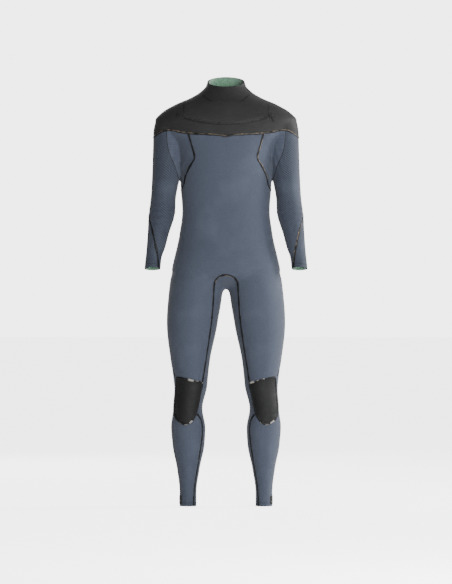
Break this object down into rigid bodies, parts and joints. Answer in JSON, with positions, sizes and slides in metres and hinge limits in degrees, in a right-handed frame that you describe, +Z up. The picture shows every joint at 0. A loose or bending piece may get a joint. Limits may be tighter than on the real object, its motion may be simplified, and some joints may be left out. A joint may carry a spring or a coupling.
{
  "type": "full wetsuit",
  "caption": "Long-sleeved, long-legged wetsuit of neoprene panels with a high collar, a chest zip under the throat and knee pads.",
  "frame": {"origin": "centre of the ankle hems' bounding box on the floor plane", "axes": "+Z up along the wearer, the chest faces -Y, the wearer's left side is +X"},
  "size_m": [0.569, 0.2381, 1.5003],
  "materials": {
    "slate_jersey": "fine ribbed jersey on neoprene, matt",
    "black_smoothskin": "fine black jersey on neoprene, matt with a soft sheen",
    "knee_pad_rubber": "embossed hard-wearing rubberised fabric",
    "green_lining": "short plush pile",
    "black_trim": "woven tape and bonded tabs",
    "black_plastic": "moulded zip plastic"
  },
  "bodies": {
    "torso": {"front_panel": "slate_jersey", "back_panel": "slate_jersey", "seat_panel": "slate_jersey", "crotch_gusset": "slate_jersey", "left_side_panel": "slate_jersey", "right_side_panel": "slate_jersey", "chest_yoke": "black_smoothskin", "back_yoke": "black_smoothskin", "collar": "black_smoothskin", "collar_lining": "green_lining", "bib_fold": "black_smoothskin", "zip_lower_tape": "black_trim", "zip_lower_teeth": "black_plastic", "zip_garage": "black_trim", "zip_stop": "black_plastic", "left_sleeve_top": "slate_jersey", "right_sleeve_top": "slate_jersey", "left_hip_panel": "slate_jersey", "right_hip_panel": "slate_jersey", "left_upper_gusset": "slate_jersey", "right_upper_gusset": "slate_jersey"},
    "bib": {"neck_bib": "black_smoothskin", "zip_upper_tape": "black_trim", "zip_upper_teeth": "black_plastic"},
    "slider": {"zip_slider": "black_plastic"},
    "pull_tab": {"zip_pull": "black_plastic"},
    "left_upper_arm": {"left_upper_sleeve": "slate_jersey", "left_elbow_panel": "slate_jersey"},
    "left_forearm": {"left_forearm_outer_panel": "slate_jersey", "left_forearm_inner_panel": "slate_jersey", "left_cuff_lining": "green_lining"},
    "left_thigh": {"left_thigh_panel": "slate_jersey", "left_inner_thigh_panel": "slate_jersey", "left_knee_pad": "knee_pad_rubber", "left_knee_back_panel": "slate_jersey"},
    "left_lower_leg": {"left_shin_panel": "slate_jersey", "left_calf_panel": "slate_jersey", "left_ankle_lining": "green_lining", "left_ankle_tab": "black_trim"},
    "right_upper_arm": {"right_upper_sleeve": "slate_jersey", "right_elbow_panel": "slate_jersey"},
    "right_forearm": {"right_forearm_outer_panel": "slate_jersey", "right_forearm_inner_panel": "slate_jersey", "right_cuff_lining": "green_lining"},
    "right_thigh": {"right_thigh_panel": "slate_jersey", "right_inner_thigh_panel": "slate_jersey", "right_knee_pad": "knee_pad_rubber", "right_knee_back_panel": "slate_jersey"},
    "right_lower_leg": {"right_shin_panel": "slate_jersey", "right_calf_panel": "slate_jersey", "right_ankle_lining": "green_lining", "right_ankle_tab": "black_trim"}
  },
  "joints": [
    {"name": "left_shoulder_swing", "type": "hinge", "parent": "torso", "child": "left_upper_arm", "pos_m": [0.209, 0, 1.185], "axis": [-1, 0, 0], "range_deg": [-15, 60], "deforming": ["left_sleeve_top"]},
    {"name": "left_elbow_bend", "type": "hinge", "parent": "left_upper_arm", "child": "left_forearm", "pos_m": [0.223, 0, 1.015], "axis": [-1, 0, 0], "range_deg": [0, 90], "deforming": ["left_elbow_panel"]},
    {"name": "left_hip_bend", "type": "hinge", "parent": "torso", "child": "left_thigh", "pos_m": [0.105, 0.008, 0.757], "axis": [-1, 0, 0], "range_deg": [-15, 60], "deforming": ["left_hip_panel", "left_upper_gusset"]},
    {"name": "left_knee_bend", "type": "hinge", "parent": "left_thigh", "child": "left_lower_leg", "pos_m": [0.13, 0, 0.368], "axis": [1, 0, 0], "range_deg": [0, 100], "deforming": ["left_knee_pad", "left_knee_back_panel"]},
    {"name": "right_shoulder_swing", "type": "hinge", "parent": "torso", "child": "right_upper_arm", "pos_m": [-0.209, 0, 1.185], "axis": [-1, 0, 0], "range_deg": [-15, 60], "deforming": ["right_sleeve_top"]},
    {"name": "right_elbow_bend", "type": "hinge", "parent": "right_upper_arm", "child": "right_forearm", "pos_m": [-0.223, 0, 1.015], "axis": [-1, 0, 0], "range_deg": [0, 90], "deforming": ["right_elbow_panel"]},
    {"name": "right_hip_bend", "type": "hinge", "parent": "torso", "child": "right_thigh", "pos_m": [-0.105, 0.008, 0.757], "axis": [-1, 0, 0], "range_deg": [-15, 60], "deforming": ["right_hip_panel", "right_upper_gusset"]},
    {"name": "right_knee_bend", "type": "hinge", "parent": "right_thigh", "child": "right_lower_leg", "pos_m": [-0.13, 0, 0.368], "axis": [1, 0, 0], "range_deg": [0, 100], "deforming": ["right_knee_pad", "right_knee_back_panel"]},
    {"name": "bib_lift", "type": "hinge", "parent": "torso", "child": "bib", "pos_m": [0, -0.062, 1.388], "axis": [-1, 0, 0], "range_deg": [0, 60], "deforming": ["bib_fold"]},
    {"name": "zip_slide", "type": "hinge", "parent": "torso", "child": "slider", "pos_m": [0, 0.114, 1.5356], "axis": [0, 0.6769, -0.7361], "range_deg": [0, 61.93]},
    {"name": "pull_tab_flip", "type": "hinge", "parent": "slider", "child": "pull_tab", "pos_m": [0.15777, -0.08319, 1.36159], "axis": [-0.8575, -0.3787, -0.3483], "range_deg": [0, 150]}
  ]
}
